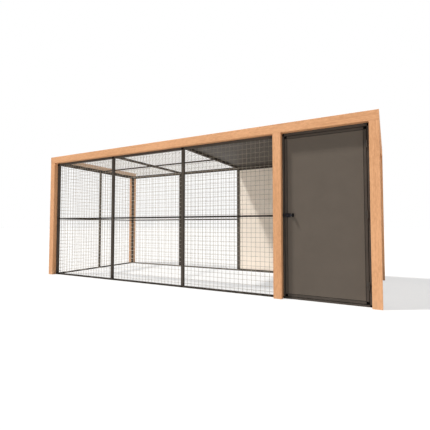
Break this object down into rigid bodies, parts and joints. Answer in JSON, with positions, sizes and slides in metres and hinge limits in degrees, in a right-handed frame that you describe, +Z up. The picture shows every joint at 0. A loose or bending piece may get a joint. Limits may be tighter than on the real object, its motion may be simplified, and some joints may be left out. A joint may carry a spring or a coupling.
{
  "type": "pet run",
  "caption": "Walk-in pet run: timber portal round a steel tube cage with welded wire mesh, solid shelter end and roof, and a hinged door with a slide bolt.",
  "frame": {"origin": "on the ground, at the middle of the plan", "axes": "+X along the length towards the door end, +Y from the front to the rear, +Z up"},
  "size_m": [4.75, 1.9, 1.87],
  "materials": {
    "timber": "planed, oiled",
    "mesh_wire": "galvanised",
    "black_nylon": "matte",
    "cream_panel": "satin",
    "roof_panel": "satin",
    "door_panel": "satin",
    "bolt_steel": "zinc-plated",
    "dark_steel": "powder-coated"
  },
  "bodies": {
    "run_frame": {"beam_front": "timber", "beam_left": "timber", "beam_right": "timber", "bolt_keeper": "bolt_steel", "door_frame_connectors": "black_nylon", "door_jambs": "dark_steel", "door_rails": "dark_steel", "door_stops": "dark_steel", "front_bottom_rails": "dark_steel", "front_connectors": "black_nylon", "front_mesh_1": "mesh_wire", "front_mesh_2": "mesh_wire", "front_mesh_3": "mesh_wire", "front_mid_rails": "dark_steel", "front_top_rails": "dark_steel", "front_upright_1": "dark_steel", "front_upright_2": "dark_steel", "front_upright_3": "dark_steel", "front_upright_4": "dark_steel", "hinge_frame_knuckles": "dark_steel", "hinge_pins": "dark_steel", "left_mesh": "mesh_wire", "left_mid_rails": "dark_steel", "left_rails": "dark_steel", "left_upright": "dark_steel", "post_front_left": "timber", "post_front_middle": "timber", "post_front_right": "timber", "post_rear_left": "timber", "post_rear_right": "timber", "rear_beads": "dark_steel", "rear_bottom_rails": "dark_steel", "rear_mesh_1": "mesh_wire", "rear_mesh_2": "mesh_wire", "rear_mid_rails": "dark_steel", "rear_panel_1": "cream_panel", "rear_panel_2": "cream_panel", "rear_top_rails": "dark_steel", "rear_uprights": "dark_steel", "right_beads": "dark_steel", "right_panel_1": "cream_panel", "right_panel_2": "cream_panel", "right_rails": "dark_steel", "right_uprights": "dark_steel", "roof_cross_rails": "dark_steel", "roof_long_rails": "dark_steel", "roof_mesh_1": "mesh_wire", "roof_mesh_2": "mesh_wire", "roof_mid_rails": "dark_steel", "roof_panel_1": "roof_panel", "roof_panel_2": "roof_panel", "roof_side_rails": "dark_steel"},
    "door_leaf": {"leaf_stiles": "dark_steel", "leaf_rails": "dark_steel", "leaf_connectors": "black_nylon", "leaf_panel": "door_panel", "leaf_beads": "dark_steel", "hinge_leaf_knuckles": "dark_steel", "bolt_plate": "bolt_steel"},
    "slide_bolt": {"bolt_bar": "bolt_steel", "bolt_handle": "black_nylon"}
  },
  "joints": [
    {"name": "door_swing", "type": "hinge", "parent": "run_frame", "child": "door_leaf", "pos_m": [2.262, -0.896, 0.881], "axis": [0, 0, 1], "range_deg": [0, 105]},
    {"name": "bolt_slide", "type": "slide", "parent": "door_leaf", "child": "slide_bolt", "axis": [-1, 0, 0], "range_m": [0, 0.027]}
  ]
}
